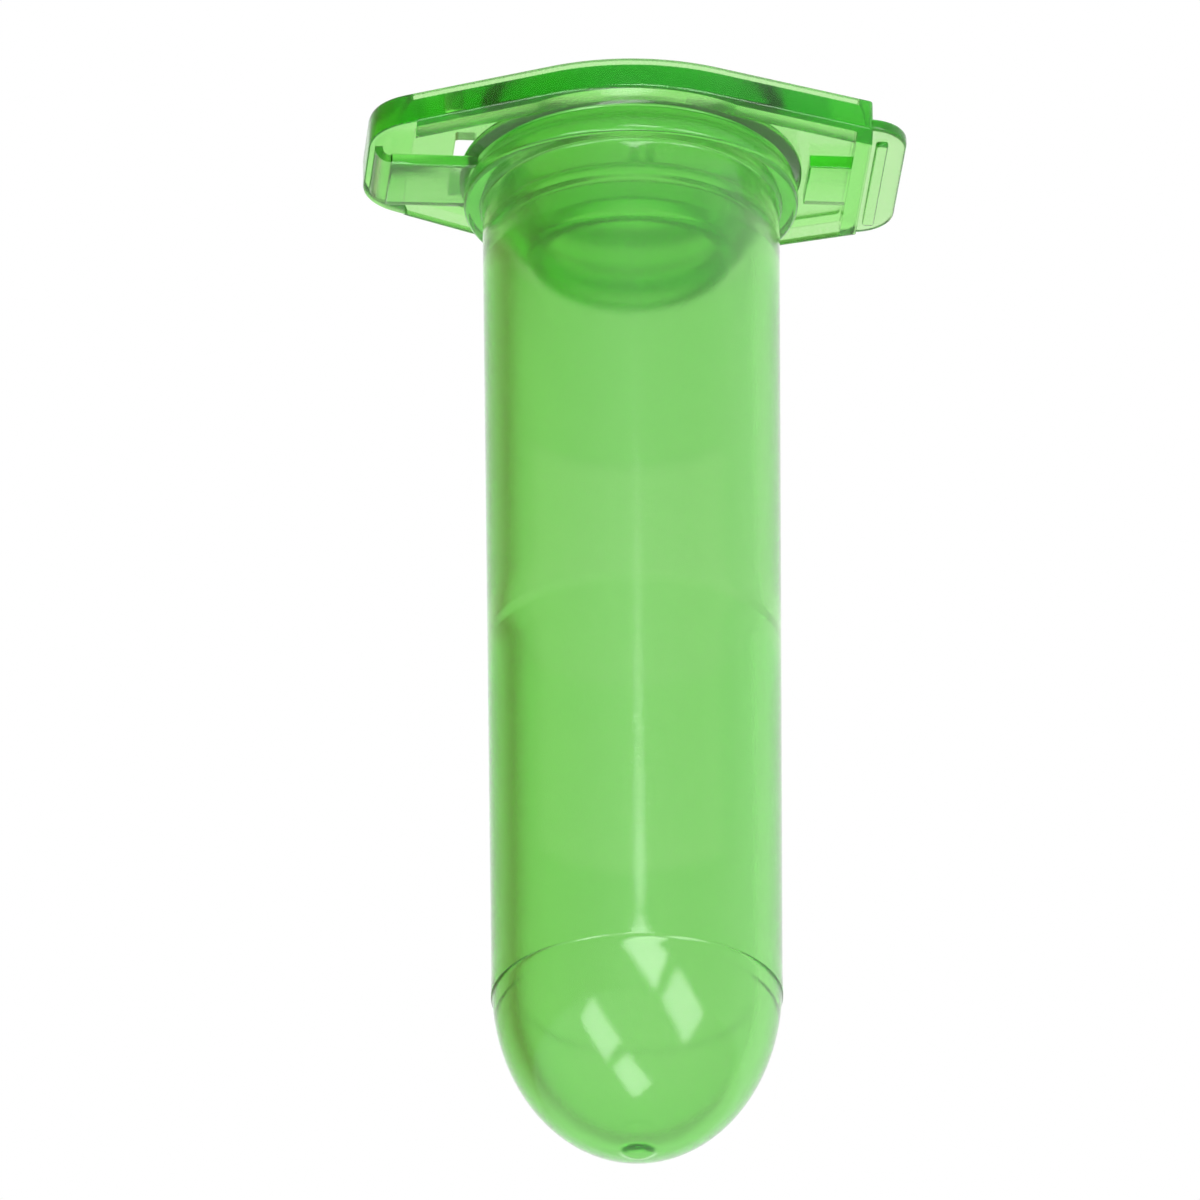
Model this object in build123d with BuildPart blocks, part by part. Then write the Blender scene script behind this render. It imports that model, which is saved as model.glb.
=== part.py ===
from build123d import *
import math
import os

# Two millilitre round-bottomed microcentrifuge tube with a hinged snap cap,
# cap closed.  Millimetres, +Z up.  The origin is on the tube axis at the
# underside of the collar, the face that hangs in a rack.  The hinge is on -X
# and the thumb tab on +X.

# ---- tube -----------------------------------------------------------------
body_r = 5.43            # barrel outside radius
bore_r = 4.62            # bore above the internal step
lower_bore_r = 4.45      # bore below the internal step
step_z = -18.10          # height of the internal step
step_h = 0.5             # length of the conical step
dome_z = -32.40          # where the barrel turns into the round bottom
dome_depth = 6.67        # outside depth of the round bottom
dome_in_depth = 5.67     # inside depth of the round bottom
gate_r = 0.60            # moulding gate vestige at the pole
gate_h = 0.12

# ---- collar ---------------------------------------------------------------
seat_r = 6.26            # lower collar ring, the one that seats in a rack
seat_h = 0.75
neck_r = 5.60            # outside of the neck, inside the lower collar ring
neck_z = 0.30            # where the neck's cone ends
groove_r = 6.07          # waist between the two collar rings
collar_r = 6.40          # upper collar ring
collar_top = 1.65
land_r = 5.03            # sealing land in the mouth
land_z = -1.00           # top of the sealing land
mouth_r = 5.36           # mouth radius at the collar's top face

# ---- writing panel --------------------------------------------------------
panel_half_deg = 50.0    # half of the angle it covers, on the +Y side
panel_top = -8.3
panel_bottom = -25.3
panel_t = 0.06

# ---- lid ------------------------------------------------------------------
lid_arc_r = 7.75         # radius of the round middle of the lid's outline
lid_arc_c = -0.786       # centre of that arc, below the X axis
slope_hinge = 0.502      # fall of the straight flanks towards the hinge
slope_tab = 0.383        # and towards the tab, mm per mm
lid_left = -9.93
lid_right = 8.75
rim_t = 0.67             # thickness of the lid's perimeter wall
rim_bottom = 1.11
rim_corner = 1.44        # where the wall's lower chamfer starts
rim_top = 2.70
plate_z0 = 1.70          # lid plate underside
plate_z1 = 2.55          # lid plate top
slot_x0 = -6.70          # through slot behind the collar
slot_x1 = -5.90
slot_half = 1.85
bridge_x = -8.29         # inner face of the wall that carries the hinge
bridge_z0 = 1.44
bridge_corner = 2.2
web_t = 0.45

# ---- plug -----------------------------------------------------------------
plug_r = 4.85
plug_in_r = 4.15
plug_z0 = -1.25          # underside of the plug's wide ring
floor_z = -1.00
bead_r = 5.00
bead_h = 0.50
skirt_r = 3.87
skirt_in_r = 3.30
skirt_z = -2.50

# ---- tab ------------------------------------------------------------------
tab_end = 10.12
tab_half = 4.20
tab_z0 = 1.44
tab_z1 = 1.94
tab_corner = 1.50
cross_x = 8.15           # inner face of the wall across the tab end
rib_x0 = 6.60            # inner end of the rib, clear of the collar
rib_half = 1.50
rib_z0 = 1.20
ridge_x0 = 8.95          # ridge across the underside of the tab
ridge_x1 = 9.40
ridge_half = 3.20
ridge_z0 = 1.26

# ---- hinge ----------------------------------------------------------------
strap_half = 1.60
strap_z0 = 0.70
strap_z1 = 1.20
strap_end = -9.10
film_x = -9.55           # centre plane of the upright part of the film
film_t = 0.30

os.makedirs("parts", exist_ok=True)



def tangent(slope, inset):
    """Where the round middle of the lid outline meets a straight flank."""
    turn = math.atan(slope)
    r = lid_arc_r - inset
    return r * math.sin(turn), lid_arc_c + r * math.cos(turn)


def lens_y(x, inset):
    """Half width of the lid outline, moved in by inset, at a place on a flank."""
    slope = slope_hinge if x < 0 else slope_tab
    tx, ty = tangent(slope, inset)
    return ty - slope * (abs(x) - tx)


def lens_lines(inset, x0, x1):
    """Closed outline of the lid between x0 and x1, moved in by inset."""
    hx, hy = tangent(slope_hinge, inset)
    tx, ty = tangent(slope_tab, inset)
    top = lid_arc_c + lid_arc_r - inset
    y0 = lens_y(x0, inset)
    y1 = lens_y(x1, inset)
    Line((x0, -y0), (x0, y0))
    Line((x0, y0), (-hx, hy))
    ThreePointArc((-hx, hy), (0, top), (tx, ty))
    Line((tx, ty), (x1, y1))
    Line((x1, y1), (x1, -y1))
    Line((x1, -y1), (tx, -ty))
    ThreePointArc((tx, -ty), (0, -top), (-hx, -hy))
    Line((-hx, -hy), (x0, -y0))


# ===========================================================================
# Tube
# ===========================================================================

# Upper barrel: thin wall from the internal step up, and the neck with the
# sealing land inside the lower collar ring.
with BuildPart() as tube_barrel:
    with BuildSketch(Plane.XZ):
        with BuildLine():
            Polyline(
                (lower_bore_r, step_z),
                (body_r, step_z),
                (body_r, 0),
                (neck_r, neck_z),
                (neck_r, seat_h),
                (5.20, seat_h),
                (5.12, 0.03),
                (5.08, -0.65),
                (land_r, land_z),
                (land_r, land_z - 0.40),
                (bore_r, land_z - 1.20),
                (bore_r, step_z + step_h),
                close=True,
            )
        make_face()
    revolve(axis=Axis.Z)
    with BuildSketch(Plane.XY.offset(panel_bottom)):
        with BuildLine():
            a0 = 90 - panel_half_deg
            a1 = 90 + panel_half_deg
            o = CenterArc((0, 0), body_r + 0.5, a0, a1 - a0)
            i = CenterArc((0, 0), body_r - panel_t, a0, a1 - a0)
            Line(o @ 0, i @ 0)
            Line(o @ 1, i @ 1)
        make_face()
    extrude(amount=panel_top - panel_bottom, mode=Mode.SUBTRACT)

# Lower barrel: thicker wall below the internal step.
with BuildPart() as lower_barrel:
    with BuildSketch(Plane.XY.offset(dome_z)):
        Circle(body_r)
        Circle(lower_bore_r, mode=Mode.SUBTRACT)
    extrude(amount=step_z - dome_z)
    with BuildSketch(Plane.XY.offset(panel_bottom)):
        with BuildLine():
            o = CenterArc((0, 0), body_r + 0.5, a0, a1 - a0)
            i = CenterArc((0, 0), body_r - panel_t, a0, a1 - a0)
            Line(o @ 0, i @ 0)
            Line(o @ 1, i @ 1)
        make_face()
    extrude(amount=panel_top - panel_bottom, mode=Mode.SUBTRACT)

# Frosted writing panel, flush with the barrel's outside.
with BuildPart() as writing_panel:
    with BuildSketch(Plane.XY.offset(panel_bottom)):
        with BuildLine():
            o = CenterArc((0, 0), body_r, a0, a1 - a0)
            i = CenterArc((0, 0), body_r - panel_t, a0, a1 - a0)
            Line(o @ 0, i @ 0)
            Line(o @ 1, i @ 1)
        make_face()
    extrude(amount=panel_top - panel_bottom)

# Round bottom, a little deeper than a half sphere.  Each face is a quarter
# ellipse, drawn as one cubic curve.
k = 0.5523
with BuildPart() as round_bottom:
    with BuildSketch(Plane.XZ):
        with BuildLine():
            Line((lower_bore_r, dome_z), (body_r, dome_z))
            Bezier(
                (body_r, dome_z),
                (body_r, dome_z - k * dome_depth),
                (k * body_r, dome_z - dome_depth),
                (0, dome_z - dome_depth),
            )
            Line((0, dome_z - dome_depth), (0, dome_z - dome_in_depth))
            Bezier(
                (0, dome_z - dome_in_depth),
                (k * lower_bore_r, dome_z - dome_in_depth),
                (lower_bore_r, dome_z - k * dome_in_depth),
                (lower_bore_r, dome_z),
            )
        make_face()
    revolve(axis=Axis.Z)

# Gate vestige at the pole: a low round stub.
with BuildPart() as gate_vestige:
    with BuildSketch(Plane.XY.offset(dome_z - dome_depth - gate_h)):
        Circle(gate_r)
    extrude(amount=gate_h + 0.06)
    chamfer(gate_vestige.edges().sort_by(Axis.Z)[0], length=0.05)
    with BuildSketch(Plane.XZ):
        with BuildLine():
            Line((0, dome_z), (body_r, dome_z))
            Bezier(
                (body_r, dome_z),
                (body_r, dome_z - k * dome_depth),
                (k * body_r, dome_z - dome_depth),
                (0, dome_z - dome_depth),
            )
            Line((0, dome_z - dome_depth), (0, dome_z))
        make_face()
    revolve(axis=Axis.Z, mode=Mode.SUBTRACT)

# Lower collar ring round the neck: its underside is the seat.
with BuildPart() as seat_ring:
    with BuildSketch(Plane.XZ):
        with BuildLine():
            Polyline(
                (body_r, 0),
                (seat_r - 0.10, 0),
                (seat_r, 0.10),
                (seat_r, seat_h - 0.20),
                (seat_r - 0.14, seat_h),
                (neck_r, seat_h),
                (neck_r, neck_z),
                close=True,
            )
        make_face()
    revolve(axis=Axis.Z)

# Upper collar ring above a shallow waist, with the flared mouth.
with BuildPart() as rim_collar:
    with BuildSketch(Plane.XZ):
        with BuildLine():
            Polyline(
                (5.20, seat_h),
                (seat_r - 0.14, seat_h),
                (groove_r, seat_h + 0.10),
                (groove_r, collar_top - 0.50),
                (collar_r, collar_top - 0.27),
                (collar_r, collar_top - 0.17),
                (collar_r - 0.05, collar_top - 0.05),
                (collar_r - 0.17, collar_top),
                (mouth_r, collar_top),
                close=True,
            )
        make_face()
    revolve(axis=Axis.Z)

# Strap that leaves the collar and carries the hinge.
with BuildPart() as hinge_strap:
    with BuildSketch(Plane.XY.offset(strap_z0)):
        Rectangle(
            -strap_end,
            2 * strap_half,
            align=(Align.MAX, Align.CENTER),
        )
        Circle(groove_r, mode=Mode.SUBTRACT)
    extrude(amount=strap_z1 - strap_z0)
    with BuildSketch(Plane.XZ):
        with BuildLine():
            Polyline(
                (0, seat_h - 0.25),
                (seat_r, seat_h - 0.25),
                (seat_r, seat_h - 0.20),
                (seat_r - 0.14, seat_h),
                (groove_r, seat_h + 0.10),
                (groove_r, collar_top - 0.50),
                (collar_r, collar_top - 0.27),
                (0, collar_top - 0.27),
                close=True,
            )
        make_face()
    revolve(axis=Axis.Z, mode=Mode.SUBTRACT)

# Living hinge: a thin film that turns up from the strap to the lid.
with BuildPart() as living_hinge:
    with BuildSketch(Plane.XZ.offset(-strap_half)):
        with BuildLine():
            zc = 0.5 * (strap_z0 + strap_z1)
            f = 0.5 * film_t
            rr = strap_end - film_x
            Line((strap_end, zc - f), (strap_end, zc + f))
            RadiusArc((strap_end, zc + f), (film_x + f, zc + rr), rr - f)
            Line((film_x + f, zc + rr), (film_x + f, bridge_z0))
            Line((film_x + f, bridge_z0), (film_x - f, bridge_z0))
            Line((film_x - f, bridge_z0), (film_x - f, zc + rr))
            RadiusArc((film_x - f, zc + rr), (strap_end, zc - f), -(rr + f))
        make_face()
    extrude(amount=2 * strap_half)

# ===========================================================================
# Lid
# ===========================================================================

# Perimeter wall with a wide chamfer along its lower edge.
with BuildPart() as lid_rim:
    with BuildSketch(Plane.XY.offset(rim_corner)):
        with BuildLine():
            lens_lines(0, bridge_x, lid_right)
        make_face()
    extrude(amount=rim_top - rim_corner)
    with BuildSketch(Plane.XY.offset(rim_corner)):
        with BuildLine():
            lens_lines(0, bridge_x, lid_right)
        make_face()
    with BuildSketch(Plane.XY.offset(rim_bottom)):
        with BuildLine():
            lens_lines(rim_t - 0.07, bridge_x, lid_right)
        make_face()
    loft()
    with BuildSketch(Plane.XY.offset(rim_bottom - 0.5)):
        with BuildLine():
            lens_lines(rim_t, bridge_x - 2, cross_x)
        make_face()
    extrude(amount=rim_top - rim_bottom + 1, mode=Mode.SUBTRACT)
    with BuildSketch(Plane.XY.offset(rim_bottom - 0.5)):
        Circle(collar_r + 0.08)
    extrude(amount=plate_z0 - rim_bottom + 0.5, mode=Mode.SUBTRACT)

# Wall across the hinge end.
with BuildPart() as hinge_bridge:
    with BuildSketch(Plane.XY.offset(bridge_z0)) as bridge_sk:
        with BuildLine():
            yb = lens_y(bridge_x, 0)
            ye = lens_y(lid_left, 0)
            Polyline(
                (bridge_x, -yb),
                (lid_left, -ye),
                (lid_left, ye),
                (bridge_x, yb),
                close=True,
            )
        make_face()
        fillet(bridge_sk.vertices().group_by(Axis.X)[0], radius=bridge_corner)
    extrude(amount=rim_top - bridge_z0)
    fillet(
        hinge_bridge.faces().sort_by(Axis.Z)[-1].edges().filter_by(
            lambda e: e.center().X < bridge_x - 0.05
        ),
        radius=0.15,
    )

# Lid plate, sunk below the top of the perimeter wall.
with BuildPart() as lid_plate:
    with BuildSketch(Plane.XY.offset(plate_z0)):
        with BuildLine():
            lens_lines(rim_t, slot_x0, cross_x)
        make_face()
        with BuildLine():
            Polyline(
                (slot_x0 - 1, -slot_half),
                (slot_x1, -slot_half),
                (slot_x1, slot_half),
                (slot_x0 - 1, slot_half),
                close=True,
            )
        make_face(mode=Mode.SUBTRACT)
    extrude(amount=plate_z1 - plate_z0)

# Thin web between the side bars, next to the hinge wall.
with BuildPart() as hinge_web:
    with BuildSketch(Plane.XY.offset(plate_z0 + 0.02)):
        with BuildLine():
            Polyline(
                (bridge_x, -lens_y(bridge_x, rim_t)),
                (bridge_x, lens_y(bridge_x, rim_t)),
                (slot_x0, lens_y(slot_x0, rim_t)),
                (slot_x0, -lens_y(slot_x0, rim_t)),
                close=True,
            )
        make_face()
    extrude(amount=web_t)

# Stiffening rib under the plate, between the collar and the cross wall.
with BuildPart() as tab_rib:
    with BuildSketch(Plane.XY.offset(rib_z0)):
        with BuildLine():
            Polyline(
                (rib_x0, -rib_half),
                (cross_x, -rib_half),
                (cross_x, rib_half),
                (rib_x0, rib_half),
                close=True,
            )
        make_face()
    extrude(amount=plate_z0 - rib_z0)

# Thumb tab with rounded corners.
with BuildPart() as thumb_tab:
    with BuildSketch(Plane.XY.offset(tab_z0)) as tab_sk:
        with BuildLine():
            Polyline(
                (lid_right, -lens_y(lid_right, 0)),
                (tab_end, -tab_half + 0.2),
                (tab_end, tab_half - 0.2),
                (lid_right, lens_y(lid_right, 0)),
                close=True,
            )
        make_face()
        fillet(tab_sk.vertices().group_by(Axis.X)[-1], radius=tab_corner)
    extrude(amount=tab_z1 - tab_z0)
    fillet(
        thumb_tab.edges()
        .filter_by(Axis.Z, reverse=True)
        .filter_by(lambda e: e.center().X > lid_right + 0.1),
        radius=0.12,
    )

# Ridge across the underside of the tab, for grip.
with BuildPart() as grip_ridge:
    with BuildSketch(Plane.XY.offset(ridge_z0)) as ridge_sk:
        with BuildLine():
            Polyline(
                (ridge_x0, -ridge_half),
                (ridge_x1, -ridge_half),
                (ridge_x1, ridge_half),
                (ridge_x0, ridge_half),
                close=True,
            )
        make_face()
        fillet(ridge_sk.vertices(), radius=0.15)
    extrude(amount=tab_z0 - ridge_z0)

# Sealing plug: a thin walled cup that goes into the mouth.
with BuildPart() as sealing_plug:
    with BuildSketch(Plane.XZ):
        with BuildLine():
            Polyline(
                (skirt_in_r, plug_z0),
                (plug_r, plug_z0),
                (plug_r, plate_z0),
                (plug_in_r, plate_z0),
                (plug_in_r, floor_z),
                (skirt_in_r, floor_z),
                close=True,
            )
        make_face()
    revolve(axis=Axis.Z)

# Bead round the plug that seals against the land.
with BuildPart() as seal_bead:
    with BuildSketch(Plane.XZ):
        with BuildLine():
            Line((plug_r, plug_z0), (plug_r, plug_z0 + bead_h))
            ThreePointArc(
                (plug_r, plug_z0 + bead_h),
                (bead_r, plug_z0 + bead_h / 2),
                (plug_r, plug_z0),
            )
        make_face()
    revolve(axis=Axis.Z)

# Narrow guide skirt at the bottom of the plug.
with BuildPart() as plug_skirt:
    with BuildSketch(Plane.XZ):
        with BuildLine():
            Line((skirt_in_r, plug_z0), (skirt_in_r, skirt_z + 0.1))
            Line((skirt_in_r, skirt_z + 0.1), (skirt_in_r + 0.1, skirt_z))
            Line((skirt_in_r + 0.1, skirt_z), (skirt_r - 0.2, skirt_z))
            ThreePointArc(
                (skirt_r - 0.2, skirt_z),
                (skirt_r - 0.2 * (1 - math.sqrt(0.5)), skirt_z + 0.2 * (1 - math.sqrt(0.5))),
                (skirt_r, skirt_z + 0.2),
            )
            Line((skirt_r, skirt_z + 0.2), (skirt_r, plug_z0))
            Line((skirt_r, plug_z0), (skirt_in_r, plug_z0))
        make_face()
    revolve(axis=Axis.Z)

# ---- labels and files -----------------------------------------------------
tube_barrel.part.label = "tube_barrel"
export_step(tube_barrel.part, "parts/tube_barrel.step")
lower_barrel.part.label = "lower_barrel"
export_step(lower_barrel.part, "parts/lower_barrel.step")
writing_panel.part.label = "writing_panel"
export_step(writing_panel.part, "parts/writing_panel.step")
round_bottom.part.label = "round_bottom"
export_step(round_bottom.part, "parts/round_bottom.step")
gate_vestige.part.label = "gate_vestige"
export_step(gate_vestige.part, "parts/gate_vestige.step")
seat_ring.part.label = "seat_ring"
export_step(seat_ring.part, "parts/seat_ring.step")
rim_collar.part.label = "rim_collar"
export_step(rim_collar.part, "parts/rim_collar.step")
hinge_strap.part.label = "hinge_strap"
export_step(hinge_strap.part, "parts/hinge_strap.step")
living_hinge.part.label = "living_hinge"
export_step(living_hinge.part, "parts/living_hinge.step")
lid_rim.part.label = "lid_rim"
export_step(lid_rim.part, "parts/lid_rim.step")
hinge_bridge.part.label = "hinge_bridge"
export_step(hinge_bridge.part, "parts/hinge_bridge.step")
lid_plate.part.label = "lid_plate"
export_step(lid_plate.part, "parts/lid_plate.step")
hinge_web.part.label = "hinge_web"
export_step(hinge_web.part, "parts/hinge_web.step")
grip_ridge.part.label = "grip_ridge"
export_step(grip_ridge.part, "parts/grip_ridge.step")
tab_rib.part.label = "tab_rib"
export_step(tab_rib.part, "parts/tab_rib.step")
thumb_tab.part.label = "thumb_tab"
export_step(thumb_tab.part, "parts/thumb_tab.step")
sealing_plug.part.label = "sealing_plug"
export_step(sealing_plug.part, "parts/sealing_plug.step")
seal_bead.part.label = "seal_bead"
export_step(seal_bead.part, "parts/seal_bead.step")
plug_skirt.part.label = "plug_skirt"
export_step(plug_skirt.part, "parts/plug_skirt.step")
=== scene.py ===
import math

import bmesh
import bpy
from mathutils import Matrix, Vector


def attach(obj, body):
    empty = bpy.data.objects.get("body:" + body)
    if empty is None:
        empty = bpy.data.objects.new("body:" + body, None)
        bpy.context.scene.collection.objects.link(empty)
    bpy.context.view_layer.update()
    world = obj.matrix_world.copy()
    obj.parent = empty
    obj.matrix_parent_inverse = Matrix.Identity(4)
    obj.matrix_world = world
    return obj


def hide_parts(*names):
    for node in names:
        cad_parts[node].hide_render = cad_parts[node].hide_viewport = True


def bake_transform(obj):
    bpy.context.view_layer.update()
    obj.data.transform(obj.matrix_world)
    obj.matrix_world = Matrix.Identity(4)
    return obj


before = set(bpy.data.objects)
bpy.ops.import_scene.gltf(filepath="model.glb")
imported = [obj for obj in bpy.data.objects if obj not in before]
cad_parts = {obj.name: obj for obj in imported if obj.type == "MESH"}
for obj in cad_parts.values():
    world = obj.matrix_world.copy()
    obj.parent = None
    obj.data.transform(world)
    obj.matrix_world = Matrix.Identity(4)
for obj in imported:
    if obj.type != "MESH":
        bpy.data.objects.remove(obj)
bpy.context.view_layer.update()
scene = bpy.context.scene
MM = 0.001

# --------------------------------------------------------------------------
# sizes in millimetres, as in the CAD model
# --------------------------------------------------------------------------
BODY_R, BORE_R, LOW_BORE_R = 5.43, 4.62, 4.45
STEP_Z, STEP_H = -18.10, 0.5
DOME_Z, DOME_D, DOME_IN_D = -32.40, 6.67, 5.67
GATE_R, GATE_H = 0.60, 0.12
SEAT_R, SEAT_H, GROOVE_R, COLLAR_R, COLLAR_TOP = 6.26, 0.75, 6.07, 6.40, 1.65
LAND_R, LAND_Z, MOUTH_R = 5.03, -1.00, 5.36
PANEL_HALF, PANEL_TOP, PANEL_BOTTOM, PANEL_T = 50, -8.3, -25.3, 0.03
ARC_R, ARC_C, SLOPE_HINGE, SLOPE_TAB = 7.75, -0.786, 0.502, 0.383
LEFT, RIGHT = -9.93, 8.75
RIM_T, RIM_BOTTOM, RIM_CORNER, RIM_TOP = 0.67, 1.11, 1.44, 2.70
PLATE_Z0, PLATE_Z1 = 1.70, 2.55
SLOT_X0, SLOT_X1, SLOT_HALF = -6.70, -5.90, 1.85
BRIDGE_X, BRIDGE_Z0, BRIDGE_CORNER, WEB_T = -8.29, 1.44, 2.2, 0.45
PLUG_R, PLUG_IN_R, PLUG_Z0, FLOOR_Z = 4.85, 4.15, -1.25, -1.00
BEAD_R, BEAD_H = 5.00, 0.50
SKIRT_R, SKIRT_IN_R, SKIRT_Z = 3.87, 3.30, -2.50
TAB_END, TAB_HALF, TAB_CORNER, TAB_Z0, TAB_Z1 = 10.12, 4.20, 1.50, 1.44, 1.94
CROSS_X, RIB_X0, RIB_HALF, RIB_Z0 = 8.15, 6.60, 1.50, 1.20
RIDGE_X0, RIDGE_X1, RIDGE_HALF, RIDGE_Z0 = 8.95, 9.40, 3.20, 1.26
STRAP_HALF, STRAP_Z0, STRAP_Z1, STRAP_END = 1.60, 0.70, 1.20, -9.10
FILM_X, FILM_T = -9.55, 0.30

# --------------------------------------------------------------------------
# mesh helpers: everything is built in millimetres and scaled once
# --------------------------------------------------------------------------


def obj_from(bm, name):
    mesh = bpy.data.meshes.new(name)
    bm.to_mesh(mesh)
    bm.free()
    ob = bpy.data.objects.new(name, mesh)
    scene.collection.objects.link(ob)
    return ob


def lathe(profile, n, name, warp=None):
    """Closed solid of revolution.  profile is a closed loop of (r, z); r = 0 points become poles."""
    bm = bmesh.new()
    rings = []
    for r, z in profile:
        if r < 1e-6:
            rings.append([bm.verts.new((0, 0, z))])
        else:
            ring = []
            for i in range(n):
                a = 2 * math.pi * i / n
                rr = r if warp is None else warp(r, z, 360.0 * i / n)
                ring.append(bm.verts.new((rr * math.cos(a), rr * math.sin(a), z)))
            rings.append(ring)
    m = len(rings)
    for k in range(m):
        a, b = rings[k], rings[(k + 1) % m]
        if len(a) == 1 and len(b) == 1:
            continue
        for i in range(n):
            j = (i + 1) % n
            if len(a) == 1:
                bm.faces.new((a[0], b[j], b[i]))
            elif len(b) == 1:
                bm.faces.new((a[i], a[j], b[0]))
            else:
                bm.faces.new((a[i], a[j], b[j], b[i]))
    bmesh.ops.recalc_face_normals(bm, faces=bm.faces)
    return obj_from(bm, name)


def arc(cx, cz, rx, rz, a0, a1, n):
    """Points along an elliptical arc, angles in degrees."""
    out = []
    for i in range(n + 1):
        a = math.radians(a0 + (a1 - a0) * i / n)
        out.append((cx + rx * math.cos(a), cz + rz * math.sin(a)))
    return out


def tangent(slope, inset=0.0):
    turn = math.atan(slope)
    return (ARC_R - inset) * math.sin(turn), ARC_C + (ARC_R - inset) * math.cos(turn)


def lens_y(x, inset=0.0):
    slope = SLOPE_HINGE if x < 0 else SLOPE_TAB
    tx, ty = tangent(slope, inset)
    return ty - slope * (abs(x) - tx)


def rounded(points, radii, n=6):
    """Polygon with rounded corners; radii is one number for each corner."""
    out = []
    m = len(points)
    for i, (p, r) in enumerate(zip(points, radii)):
        p = Vector(p)
        a = Vector(points[i - 1]) - p
        b = Vector(points[(i + 1) % m]) - p
        if r <= 0:
            out.append(tuple(p))
            continue
        ua, ub = a.normalized(), b.normalized()
        ang = ua.angle(ub)
        t = r / math.tan(ang / 2)
        c = p + (ua + ub).normalized() * (r / math.sin(ang / 2))
        s, e = p + ua * t - c, p + ub * t - c
        for k in range(n + 1):
            w = k / n
            out.append(tuple(c + s.slerp(e, w).normalized() * r))
    return out


def lens(inset, x0, x1, n=44, r0=0.0, r1=0.0):
    """Outline of the lid between x0 and x1, counter-clockwise, moved in by inset."""
    ry = ARC_R - inset
    a_tab, a_hinge = math.atan(SLOPE_TAB), math.atan(SLOPE_HINGE)
    up = []  # from the tab side to the hinge side on +Y
    for i in range(n + 1):
        a = a_tab - (a_tab + a_hinge) * i / n
        up.append((ry * math.sin(a), ARC_C + ry * math.cos(a)))
    down = [(x, -y) for x, y in reversed(up)]
    per = 9
    rc = rounded(
        [(x1, -lens_y(x1, inset)), (x1, lens_y(x1, inset)), up[0], up[-1], (x0, lens_y(x0, inset)), (x0, -lens_y(x0, inset)), down[0], down[-1]],
        [r1, r1, 0, 0, r0, r0, 0, 0],
        n=per - 1,
    )
    i_up = (per if r1 > 0 else 1) * 2
    i_dn = i_up + 2 + (per if r0 > 0 else 1) * 2
    return rc[:i_up] + up + rc[i_up + 2 : i_dn] + down


def prism(loop, z0, z1, name, bottom=0.0, top=0.0, steps=3, shrink=None):
    """Extruded outline with rounded lower and upper edges (radii bottom and top)."""
    levels = []
    if bottom > 0:
        levels = [(z0 + bottom * (1 - math.cos(math.pi / 2 * i / steps)), bottom * (1 - math.sin(math.pi / 2 * i / steps))) for i in range(steps + 1)]
    else:
        levels.append((z0, 0.0))
    if top > 0:
        levels += [(z1 - top * (1 - math.sin(math.pi / 2 * i / steps)), top * (1 - math.cos(math.pi / 2 * i / steps))) for i in range(steps + 1)]
    else:
        levels.append((z1, 0.0))
    return stack([(inset_loop(loop, d), z) for z, d in levels], name)


def inset_loop(loop, d):
    """Moves a convex counter-clockwise outline in by d."""
    if d <= 1e-9:
        return list(loop)
    m = len(loop)
    out = []
    for i in range(m):
        p0, p1, p2 = Vector(loop[i - 1]), Vector(loop[i]), Vector(loop[(i + 1) % m])
        e0, e1 = (p1 - p0), (p2 - p1)
        if e0.length < 1e-9 or e1.length < 1e-9:
            out.append(tuple(p1))
            continue
        n0 = Vector((-e0.y, e0.x)).normalized()
        n1 = Vector((-e1.y, e1.x)).normalized()
        bis = n0 + n1
        bis.normalize()
        k = d / max(bis.dot(n0), 0.3)
        out.append(tuple(p1 + bis * k))
    return out


def stack(levels, name):
    """Closed solid through a stack of outlines with equal point counts."""
    bm = bmesh.new()
    rings = [[bm.verts.new((x, y, z)) for x, y in loop] for loop, z in levels]
    m = len(rings[0])
    for a, b in zip(rings, rings[1:]):
        for i in range(m):
            j = (i + 1) % m
            bm.faces.new((a[i], a[j], b[j], b[i]))
    bm.faces.new(list(reversed(rings[0])))
    bm.faces.new(rings[-1])
    bmesh.ops.recalc_face_normals(bm, faces=bm.faces)
    return obj_from(bm, name)


def boolean(a, b, kind):
    mod = a.modifiers.new("b", "BOOLEAN")
    mod.operation = kind
    mod.solver = "EXACT"
    mod.object = b
    bpy.context.view_layer.update()
    dg = bpy.context.evaluated_depsgraph_get()
    mesh = bpy.data.meshes.new_from_object(a.evaluated_get(dg))
    a.modifiers.clear()
    old = a.data
    a.data = mesh
    bpy.data.meshes.remove(old)
    bpy.data.objects.remove(b)
    return a


def union(parts, name):
    a = parts[0]
    for b in parts[1:]:
        a = boolean(a, b, "UNION")
    a.name = name
    a.data.name = name
    return a


def finish_mesh(ob, sharp=32.0):
    """Cleans the mesh, scales it to metres and shades it smooth with sharp creases."""
    bm = bmesh.new()
    bm.from_mesh(ob.data)
    bmesh.ops.remove_doubles(bm, verts=bm.verts, dist=1e-5)
    bmesh.ops.dissolve_degenerate(bm, edges=bm.edges, dist=1e-6)
    big = [f for f in bm.faces if len(f.verts) > 4]
    if big:
        bmesh.ops.triangulate(bm, faces=big)
    bmesh.ops.recalc_face_normals(bm, faces=bm.faces)
    bmesh.ops.scale(bm, vec=(MM, MM, MM), verts=bm.verts)
    for f in bm.faces:
        f.smooth = True
    bm.to_mesh(ob.data)
    bm.free()
    ob.data.set_sharp_from_angle(angle=math.radians(sharp))
    return ob


# --------------------------------------------------------------------------
# tube shell: one continuous moulding from the gate to the mouth
# --------------------------------------------------------------------------
def barrel_r(z):
    """Outside radius of the barrel, which has a slight draft."""
    return 5.345 + 0.0065 * (z + 32.4)


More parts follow.
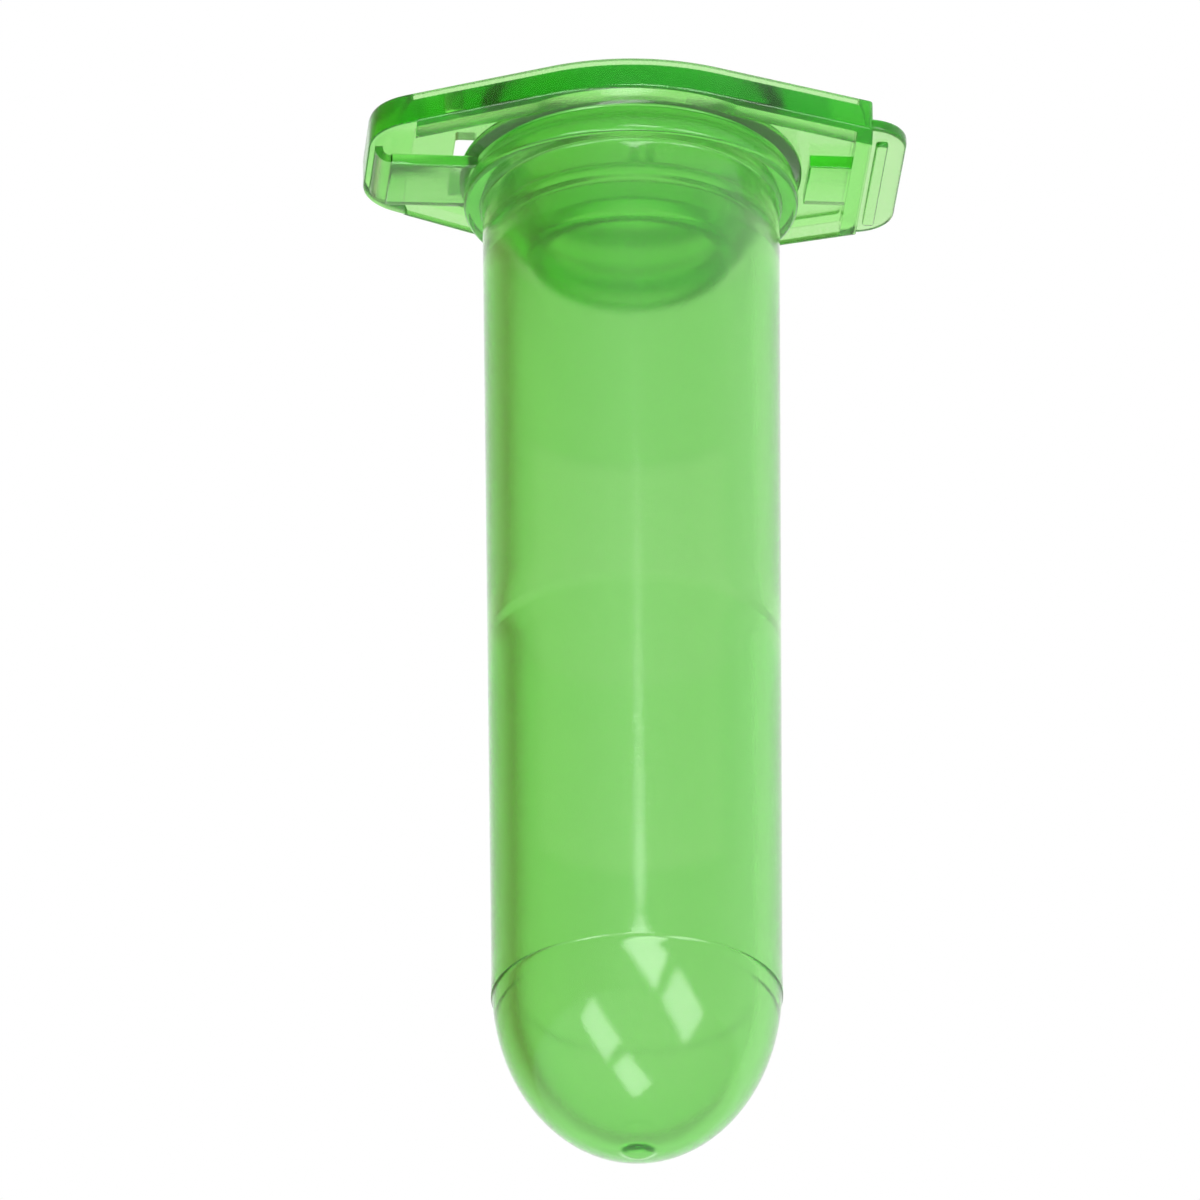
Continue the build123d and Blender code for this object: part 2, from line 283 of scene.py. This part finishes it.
MARK_Z = DOME_Z - 0.40  # parting line, a little below the start of the round bottom
R0 = barrel_r(DOME_Z)
outer = []
outer += [(0, DOME_Z - DOME_D - GATE_H), (GATE_R - 0.34, DOME_Z - DOME_D - GATE_H)]
outer += [(GATE_R - 0.20, DOME_Z - DOME_D - GATE_H + 0.02), (GATE_R - 0.06, DOME_Z - DOME_D - GATE_H + 0.07), (GATE_R, DOME_Z - DOME_D - GATE_H + 0.12)]
dome = arc(0, DOME_Z, R0 - 0.02, DOME_D, -90, 0, 60)
outer += [p for p in dome if p[0] > GATE_R + 0.05 and p[1] < MARK_Z - 0.02]
outer += [(R0 - 0.01, MARK_Z), (R0 + 0.018, MARK_Z + 0.03), (R0 + 0.022, MARK_Z + 0.08)]
zs = [DOME_Z + 0.5 + i * 1.0 for i in range(7)]
outer += [(barrel_r(z), z) for z in zs if z < PANEL_BOTTOM - 0.2]
outer += [(barrel_r(PANEL_BOTTOM), PANEL_BOTTOM - 0.04), (barrel_r(PANEL_BOTTOM), PANEL_BOTTOM)]
outer += [(barrel_r(PANEL_BOTTOM + i), PANEL_BOTTOM + i) for i in range(1, 17)]
outer += [(barrel_r(PANEL_TOP), PANEL_TOP), (barrel_r(PANEL_TOP), PANEL_TOP + 0.04)]
outer += [(barrel_r(z), z) for z in (-7.3, -6.3, -5.3, -4.3, -3.3, -2.3, -1.3, -0.5)]
NECK = barrel_r(0)
outer += arc(NECK + 0.16, -0.16, 0.16, 0.16, 180, 90, 4)
outer += arc(SEAT_R - 0.20, 0.20, 0.20, 0.20, -90, 0, 5)
outer += [(SEAT_R, 0.40)] + [(SEAT_R - 0.02, 0.54), (SEAT_R - 0.07, 0.65), (SEAT_R - 0.13, 0.74), (GROOVE_R + 0.02, 0.84)]
outer += [(GROOVE_R, 0.92), (GROOVE_R, 1.12), (GROOVE_R + 0.05, 1.20), (COLLAR_R - 0.10, 1.31), (COLLAR_R - 0.02, 1.37), (COLLAR_R, 1.44)]
outer += arc(COLLAR_R - 0.16, COLLAR_TOP - 0.16, 0.16, 0.16, 0, 90, 5)
inner = []
inner += [(MOUTH_R + 0.12, COLLAR_TOP), (MOUTH_R + 0.03, COLLAR_TOP - 0.05), (MOUTH_R, COLLAR_TOP - 0.14)]
inner += [(5.30, 1.2), (5.20, 0.75), (5.16, 0.4), (5.12, 0.03), (5.10, -0.3), (5.08, -0.65), (5.05, -0.88), (LAND_R, LAND_Z), (LAND_R, LAND_Z - 0.40)]
inner += [(4.93, LAND_Z - 0.62), (4.80, LAND_Z - 0.88), (4.68, LAND_Z - 1.10), (BORE_R, LAND_Z - 1.28)]
inner += [(BORE_R, -3.3 - i) for i in range(0, 14)]
inner += [(BORE_R, STEP_Z + STEP_H), (BORE_R - 0.03, STEP_Z + STEP_H - 0.12), (LOW_BORE_R + 0.03, STEP_Z + 0.10), (LOW_BORE_R, STEP_Z)]
inner += [(LOW_BORE_R, STEP_Z - 1.0 - i) for i in range(0, 13)]
inner += list(reversed(arc(0, DOME_Z, LOW_BORE_R, DOME_IN_D, -90, 0, 44)))
inner[-1] = (0, inner[-1][1])


def panel_warp(r, z, deg):
    if r > 5.0 and PANEL_BOTTOM - 1e-6 <= z <= PANEL_TOP + 1e-6 and 90 - PANEL_HALF <= deg <= 90 + PANEL_HALF:
        return r - PANEL_T
    return r


tube = lathe(outer + inner, 180, "tube_shell", panel_warp)

# strap from the collar, fused into it
strap_loop = [(STRAP_END, -STRAP_HALF), (-5.75, -STRAP_HALF), (-5.75, STRAP_HALF), (STRAP_END, STRAP_HALF)]
strap = prism(strap_loop, STRAP_Z0, STRAP_Z1, "strap", bottom=0.07, top=0.07)
tube = union([tube, strap], "tube_shell")
finish_mesh(tube)

# --------------------------------------------------------------------------
# lid shell
# --------------------------------------------------------------------------


def rim_loop(inset, x0, x1=RIGHT, r0=0.0):
    return lens(inset + 0.003, x0, x1, r0=max(r0 - inset, 0.02), r1=max(0.30 - inset, 0.02))


# side walls, with the wide chamfer along the lower edge
rim = stack(
    [
        (rim_loop(RIM_T - 0.09, BRIDGE_X - 0.6), RIM_BOTTOM),
        (rim_loop(RIM_T - 0.17, BRIDGE_X - 0.6), RIM_BOTTOM + 0.03),
        (rim_loop(0.07, BRIDGE_X - 0.6), RIM_CORNER - 0.03),
        (rim_loop(0.02, BRIDGE_X - 0.6), RIM_CORNER + 0.03),
        (rim_loop(0.0, BRIDGE_X - 0.6), RIM_CORNER + 0.10),
        (rim_loop(0.0, BRIDGE_X - 0.6), RIM_CORNER + 0.30),
    ],
    "rim",
)
trim = stack([([(-12, -7), (BRIDGE_X + 0.02, -7), (BRIDGE_X + 0.02, 7), (-12, 7)], z) for z in (0.5, 4.0)], "trim")
rim = boolean(rim, trim, "DIFFERENCE")
# one continuous wall from the tab end round the hinge end
wall = stack(
    [
        (rim_loop(0.06, LEFT + 0.06, r0=BRIDGE_CORNER), BRIDGE_Z0 + 0.01),
        (rim_loop(0.015, LEFT + 0.015, r0=BRIDGE_CORNER), BRIDGE_Z0 + 0.05),
        (rim_loop(0.0, LEFT, r0=BRIDGE_CORNER), BRIDGE_Z0 + 0.11),
        (rim_loop(0.0, LEFT, r0=BRIDGE_CORNER), RIM_TOP - 0.18),
        (rim_loop(0.05, LEFT + 0.05, r0=BRIDGE_CORNER), RIM_TOP - 0.05),
        (rim_loop(0.18, LEFT + 0.18, r0=BRIDGE_CORNER), RIM_TOP),
    ],
    "wall",
)
rim = boolean(wall, rim, "UNION")
core = stack([(lens(RIM_T, BRIDGE_X, CROSS_X, r0=0.25, r1=0.25), z) for z in (0.5, RIM_TOP + 0.5)], "core")
rim = boolean(rim, core, "DIFFERENCE")
clear = lathe([(0, 0.3), (COLLAR_R + 0.08, 0.3), (COLLAR_R + 0.08, PLATE_Z0), (0, PLATE_Z0)], 180, "clear")
rim = boolean(rim, clear, "DIFFERENCE")

plate = stack([(lens(RIM_T - 0.04, BRIDGE_X - 0.04, CROSS_X + 0.04, r0=0.2, r1=0.2), z) for z in (PLATE_Z0, PLATE_Z1)], "plate")
slot_loop = rounded([(SLOT_X0, -SLOT_HALF), (SLOT_X1, -SLOT_HALF), (SLOT_X1, SLOT_HALF), (SLOT_X0, SLOT_HALF)], [0.12] * 4, n=3)
slot_cut = stack([(slot_loop, z) for z in (0.8, 3.2)], "slot_cut")
plate = boolean(plate, slot_cut, "DIFFERENCE")

rib = prism(
    [(RIB_X0, -RIB_HALF), (CROSS_X + 0.3, -RIB_HALF), (CROSS_X + 0.3, RIB_HALF), (RIB_X0, RIB_HALF)],
    RIB_Z0,
    PLATE_Z0 + 0.04,
    "rib",
    bottom=0.07,
)
tab_loop = rounded(
    [(RIGHT - 0.25, -lens_y(RIGHT)), (TAB_END, -TAB_HALF + 0.2), (TAB_END, TAB_HALF - 0.2), (RIGHT - 0.25, lens_y(RIGHT))],
    [0, TAB_CORNER, TAB_CORNER, 0],
    n=12,
)
tab = prism(tab_loop, TAB_Z0 + 0.02, TAB_Z1, "tab", bottom=0.14, top=0.14, steps=4)
ridge = prism(
    rounded([(RIDGE_X0, -RIDGE_HALF), (RIDGE_X1, -RIDGE_HALF), (RIDGE_X1, RIDGE_HALF), (RIDGE_X0, RIDGE_HALF)], [0.15] * 4, n=4),
    RIDGE_Z0,
    TAB_Z0 + 0.10,
    "ridge",
    bottom=0.08,
)

plug_profile = [(SKIRT_IN_R, FLOOR_Z - 0.1)]
plug_profile += [(SKIRT_IN_R, SKIRT_Z + 0.12)] + arc(SKIRT_IN_R + 0.12, SKIRT_Z + 0.12, 0.12, 0.12, 180, 270, 4)
plug_profile += arc(SKIRT_R - 0.2, SKIRT_Z + 0.2, 0.2, 0.2, -90, 0, 5)
plug_profile += [(SKIRT_R, PLUG_Z0 - 0.08)] + arc(SKIRT_R + 0.08, PLUG_Z0 - 0.08, 0.08, 0.08, 180, 90, 3)
plug_profile += [(PLUG_R - 0.1, PLUG_Z0)]
plug_profile += [(4.90, PLUG_Z0 + 0.03), (4.955, PLUG_Z0 + 0.09), (4.99, PLUG_Z0 + 0.17), (BEAD_R, PLUG_Z0 + 0.25)]
plug_profile += [(4.99, PLUG_Z0 + 0.33), (4.955, PLUG_Z0 + 0.41), (4.90, PLUG_Z0 + 0.48), (PLUG_R, PLUG_Z0 + 0.56)]
plug_profile += [(PLUG_R, PLATE_Z0 - 0.2), (PLUG_R, PLATE_Z0 + 0.05)]
plug_profile += [(PLUG_IN_R, PLATE_Z0 + 0.05), (PLUG_IN_R, PLATE_Z0 - 0.2), (PLUG_IN_R, FLOOR_Z + 0.12)]
plug_profile += [(PLUG_IN_R - 0.03, FLOOR_Z + 0.04), (PLUG_IN_R - 0.12, FLOOR_Z), (SKIRT_IN_R + 0.1, FLOOR_Z), (SKIRT_IN_R + 0.03, FLOOR_Z - 0.03)]
plug = lathe(plug_profile, 160, "plug")

lid = union([rim, plate, rib, tab, ridge, plug], "lid_shell")
finish_mesh(lid)

# --------------------------------------------------------------------------
# living hinge film
# --------------------------------------------------------------------------
zc = 0.5 * (STRAP_Z0 + STRAP_Z1)
rr = STRAP_END - FILM_X
path = [(STRAP_END + 0.05, zc)]
for i in range(13):
    a = math.radians(270 - 90 * i / 12)
    path.append((STRAP_END + rr * math.cos(a), zc + rr + rr * math.sin(a)))
path.append((FILM_X, BRIDGE_Z0 + 0.05))
bm = bmesh.new()
ny = 10
rows = []
for k, (x, z) in enumerate(path):
    if k == 0:
        t = Vector((path[1][0] - x, path[1][1] - z))
    elif k == len(path) - 1:
        t = Vector((x - path[k - 1][0], z - path[k - 1][1]))
    else:
        t = Vector((path[k + 1][0] - path[k - 1][0], path[k + 1][1] - path[k - 1][1]))
    t.normalize()
    nrm = Vector((-t.y, t.x))
    h = FILM_T / 2
    ring = []
    for j in range(ny + 1):
        y = -STRAP_HALF + 2 * STRAP_HALF * j / ny
        ring.append(bm.verts.new((x + nrm.x * h, y, z + nrm.y * h)))
    for j in range(ny, -1, -1):
        y = -STRAP_HALF + 2 * STRAP_HALF * j / ny
        ring.append(bm.verts.new((x - nrm.x * h, y, z - nrm.y * h)))
    rows.append(ring)
m = len(rows[0])
for a, b in zip(rows, rows[1:]):
    for i in range(m):
        j = (i + 1) % m
        bm.faces.new((a[i], a[j], b[j], b[i]))
for end in (rows[0], rows[-1]):
    for j in range(ny):
        bm.faces.new((end[j], end[j + 1], end[m - 2 - j], end[m - 1 - j]))
bmesh.ops.recalc_face_normals(bm, faces=bm.faces)
film = obj_from(bm, "living_hinge_film")
finish_mesh(film)


# --------------------------------------------------------------------------
# materials
# --------------------------------------------------------------------------
ABSORB = (0.42, 0.03, 0.58)  # per millimetre
CLEAR = 0.91  # share of light that passes without being scattered
TINT = (0.76, 0.93, 0.68)
ROUGH = 0.10


def polypropylene(name, rough=ROUGH, bump=0.16, scale=12000.0, clear=CLEAR, tint=TINT, panel=False):
    mat = bpy.data.materials.new(name)
    mat.use_nodes = True
    nt = mat.node_tree
    p = nt.nodes["Principled BSDF"]
    out = nt.nodes["Material Output"]
    p.inputs["Base Color"].default_value = (*tint, 1)
    p.inputs["Transmission Weight"].default_value = clear
    p.inputs["IOR"].default_value = 1.49
    p.inputs["Roughness"].default_value = rough
    ab = nt.nodes.new("ShaderNodeVolumeAbsorption")
    top = max(ABSORB) * 1000.0 * 1.02
    ab.inputs["Color"].default_value = (*[1.0 - a * 1000.0 / top for a in ABSORB], 1)
    ab.inputs["Density"].default_value = top
    nt.links.new(ab.outputs[0], out.inputs["Volume"])
    # fine texture left by the mould
    co = nt.nodes.new("ShaderNodeTexCoord")
    no = nt.nodes.new("ShaderNodeTexNoise")
    no.inputs["Scale"].default_value = scale
    no.inputs["Detail"].default_value = 3.0
    nt.links.new(co.outputs["Object"], no.inputs["Vector"])
    bp = nt.nodes.new("ShaderNodeBump")
    bp.inputs["Strength"].default_value = bump
    bp.inputs["Distance"].default_value = 0.00002
    nt.links.new(no.outputs["Fac"], bp.inputs["Height"])
    nt.links.new(bp.outputs["Normal"], p.inputs["Normal"])
    # the same grain shows as a faint mottle in the plastic
    grain = nt.nodes.new("ShaderNodeMix")
    grain.data_type = "RGBA"
    grain.inputs["A"].default_value = (tint[0] * 0.72, tint[1] * 0.93, tint[2] * 0.72, 1)
    grain.inputs["B"].default_value = (min(1.0, tint[0] * 1.30), min(1.0, tint[1] * 1.07), min(1.0, tint[2] * 1.34), 1)
    nt.links.new(no.outputs["Fac"], grain.inputs["Factor"])
    if not panel:
        nt.links.new(grain.outputs["Result"], p.inputs["Base Color"])
        return mat

    # the writing panel: same plastic, paler and more strongly grained
    def calc(op, a, b):
        n = nt.nodes.new("ShaderNodeMath")
        n.operation = op
        for k, v in enumerate((a, b)):
            if isinstance(v, float):
                n.inputs[k].default_value = v
            else:
                nt.links.new(v, n.inputs[k])
        return n.outputs[0]

    xyz = nt.nodes.new("ShaderNodeSeparateXYZ")
    nt.links.new(co.outputs["Object"], xyz.inputs[0])
    x, y, z = xyz.outputs
    outside = calc("GREATER_THAN", calc("ADD", calc("MULTIPLY", x, x), calc("MULTIPLY", y, y)), 25e-6)
    side = calc("GREATER_THAN", y, 5.4 * math.cos(math.radians(PANEL_HALF)) * MM)
    band = calc("MULTIPLY", calc("GREATER_THAN", z, PANEL_BOTTOM * MM), calc("LESS_THAN", z, PANEL_TOP * MM))
    mask = calc("MULTIPLY", calc("MULTIPLY", outside, side), band)
    nt.links.new(calc("ADD", calc("MULTIPLY", mask, 0.30), bump), bp.inputs["Strength"])
    pale = nt.nodes.new("ShaderNodeMix")
    pale.data_type = "RGBA"
    pale.inputs["B"].default_value = (1.0, 1.0, 0.96, 1)
    nt.links.new(grain.outputs["Result"], pale.inputs["A"])
    nt.links.new(mask, pale.inputs["Factor"])
    nt.links.new(pale.outputs["Result"], p.inputs["Base Color"])
    return mat


pp = polypropylene("green_polypropylene", panel=True)
pp_lid = polypropylene("green_polypropylene_lid", rough=0.15, clear=0.96, tint=(0.72, 0.995, 0.60))
for ob in (tube, lid, film):
    ob.data.materials.clear()
    ob.data.materials.append(pp if ob is tube else pp_lid)
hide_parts("tube_barrel", "lower_barrel", "writing_panel", "round_bottom", "gate_vestige", "seat_ring", "rim_collar", "hinge_strap")
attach(tube, "tube")
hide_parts("lid_plate", "lid_rim", "hinge_bridge", "hinge_web", "tab_rib", "grip_ridge", "thumb_tab", "sealing_plug", "seal_bead", "plug_skirt")
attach(lid, "lid")
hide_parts("living_hinge")
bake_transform(film)

# --------------------------------------------------------------------------
# camera
# --------------------------------------------------------------------------
DIST, PXMM = 800.0, 27.0
el, az, roll = math.radians(-27.0), math.radians(-4.62), math.radians(0.4)
back = Vector((math.sin(az) * math.cos(el), -math.cos(az) * math.cos(el), math.sin(el)))
right = (-back).cross(Vector((0, 0, 1))).normalized()
up = right.cross(-back)
aim = Vector((0, 0, -16.4)) - right * 1.26
cam_data = bpy.data.cameras.new("cam")
cam = bpy.data.objects.new("cam", cam_data)
scene.collection.objects.link(cam)
cam_data.sensor_width = 36.0
cam_data.lens = 36.0 * DIST / (1200.0 / PXMM)
cam_data.clip_start, cam_data.clip_end = 0.01, 10.0
c, s = math.cos(roll), math.sin(roll)
r2 = right * c - up * s
u2 = right * s + up * c
rot = Matrix((r2, u2, back)).transposed()
cam.matrix_world = Matrix.Translation((aim + back * DIST) * MM) @ rot.to_4x4()
scene.camera = cam

# --------------------------------------------------------------------------
# light and floor
# --------------------------------------------------------------------------
world = bpy.data.worlds.new("studio")
scene.world = world
world.use_nodes = True
nt = world.node_tree
bg = nt.nodes["Background"]
co = nt.nodes.new("ShaderNodeTexCoord")
sep = nt.nodes.new("ShaderNodeSeparateXYZ")
nt.links.new(co.outputs["Generated"], sep.inputs[0])
ramp = nt.nodes.new("ShaderNodeMapRange")
ramp.interpolation_type = "SMOOTHSTEP"
ramp.inputs["From Min"].default_value = -0.85
ramp.inputs["From Max"].default_value = -0.10
nt.links.new(sep.outputs["X"], ramp.inputs["Value"])
mix = nt.nodes.new("ShaderNodeMix")
mix.data_type = "RGBA"
mix.inputs["A"].default_value = (0.28, 0.22, 0.06, 1)
mix.inputs["B"].default_value = (1.0, 1.0, 1.0, 1)
nt.links.new(ramp.outputs["Result"], mix.inputs["Factor"])
# the room in front of the tube is dimmer than the white board behind it
front = nt.nodes.new("ShaderNodeMapRange")
front.interpolation_type = "SMOOTHSTEP"
front.inputs["From Min"].default_value = -0.80
front.inputs["From Max"].default_value = 0.05
front.inputs["To Min"].default_value = 0.45
front.inputs["To Max"].default_value = 1.0
nt.links.new(sep.outputs["Y"], front.inputs["Value"])
dim = nt.nodes.new("ShaderNodeVectorMath")
dim.operation = "SCALE"
nt.links.new(mix.outputs["Result"], dim.inputs[0])
nt.links.new(front.outputs["Result"], dim.inputs["Scale"])
lp = nt.nodes.new("ShaderNodeLightPath")
cammix = nt.nodes.new("ShaderNodeMix")
cammix.data_type = "RGBA"
cammix.inputs["B"].default_value = (1, 1, 1, 1)
nt.links.new(dim.outputs[0], cammix.inputs["A"])
nt.links.new(lp.outputs["Is Camera Ray"], cammix.inputs["Factor"])
nt.links.new(cammix.outputs["Result"], bg.inputs["Color"])
bg.inputs["Strength"].default_value = 1.0

# four window panes that light the round bottom
PANES = [
    [((-0.87, -5.3, -33.45), -15.9, 16.0), ((-0.21, -5.39, -32.67), -2.0, 27.2), ((0.81, -5.27, -33.8), 18.9, 10.6), ((0.34, -5.05, -35.0), 9.5, -9.3)],
    [((0.6, -4.93, -35.27), 15.6, -13.5), ((1.18, -5.13, -34.21), 26.8, 4.5), ((2.2, -4.33, -35.55), 54.1, -13.8), ((1.52, -4.08, -36.53), 45.5, -33.6)],
    [((-2.35, -4.18, -35.69), -54.9, -17.8), ((-1.94, -4.64, -35.1), -41.3, -9.4), ((-0.9, -4.27, -36.51), -22.7, -37.6), ((-1.42, -3.71, -37.07), -45.6, -47.2)],
    [((-1.16, -3.6, -37.29), -41.1, -53.6), ((-0.64, -4.06, -36.89), -17.1, -46.3), ((0.35, -3.34, -37.74), 27.3, -66.9), ((-0.32, -2.86, -38.13), -24.5, -81.3)],
]
PANE_LIGHT = [7.0, 6.0, 6.0, 6.0]
for k, (pane, power) in enumerate(zip(PANES, PANE_LIGHT)):
    vs = []
    for pt, a, e in pane:
        a, e = math.radians(a), math.radians(e)
        d = Vector((math.sin(a) * math.cos(e), -math.cos(a) * math.cos(e), math.sin(e)))
        vs.append(tuple(Vector(pt) * MM + d * 0.4))
    me = bpy.data.meshes.new("window_%d" % k)
    me.from_pydata(vs, [], [(0, 1, 2, 3)])
    ob = bpy.data.objects.new("window_%d" % k, me)
    scene.collection.objects.link(ob)
    m = bpy.data.materials.new("window_%d" % k)
    m.use_nodes = True
    m.node_tree.nodes.clear()
    em = m.node_tree.nodes.new("ShaderNodeEmission")
    em.inputs["Strength"].default_value = power
    mo = m.node_tree.nodes.new("ShaderNodeOutputMaterial")
    m.node_tree.links.new(em.outputs[0], mo.inputs["Surface"])
    me.materials.append(m)
    ob.visible_camera = False
    ob.visible_transmission = False
    ob.visible_diffuse = False

floor_mesh = bpy.data.meshes.new("floor")
floor_mesh.from_pydata([(-3, -3, -0.6), (3, -3, -0.6), (3, 3, -0.6), (-3, 3, -0.6)], [], [(0, 1, 2, 3)])
floor = bpy.data.objects.new("floor", floor_mesh)
scene.collection.objects.link(floor)
fm = bpy.data.materials.new("floor")
fm.use_nodes = True
fm.node_tree.nodes["Principled BSDF"].inputs["Base Color"].default_value = (0.9, 0.9, 0.9, 1)
fm.node_tree.nodes["Principled BSDF"].inputs["Roughness"].default_value = 0.8
floor_mesh.materials.append(fm)

scene.view_settings.view_transform = "Standard"
scene.cycles.max_bounces = 24
scene.cycles.transmission_bounces = 24
scene.cycles.glossy_bounces = 8
scene.cycles.diffuse_bounces = 4
scene.cycles.volume_bounces = 0
scene.cycles.use_denoising = True
scene.cycles.caustics_reflective = True
scene.cycles.caustics_refractive = True
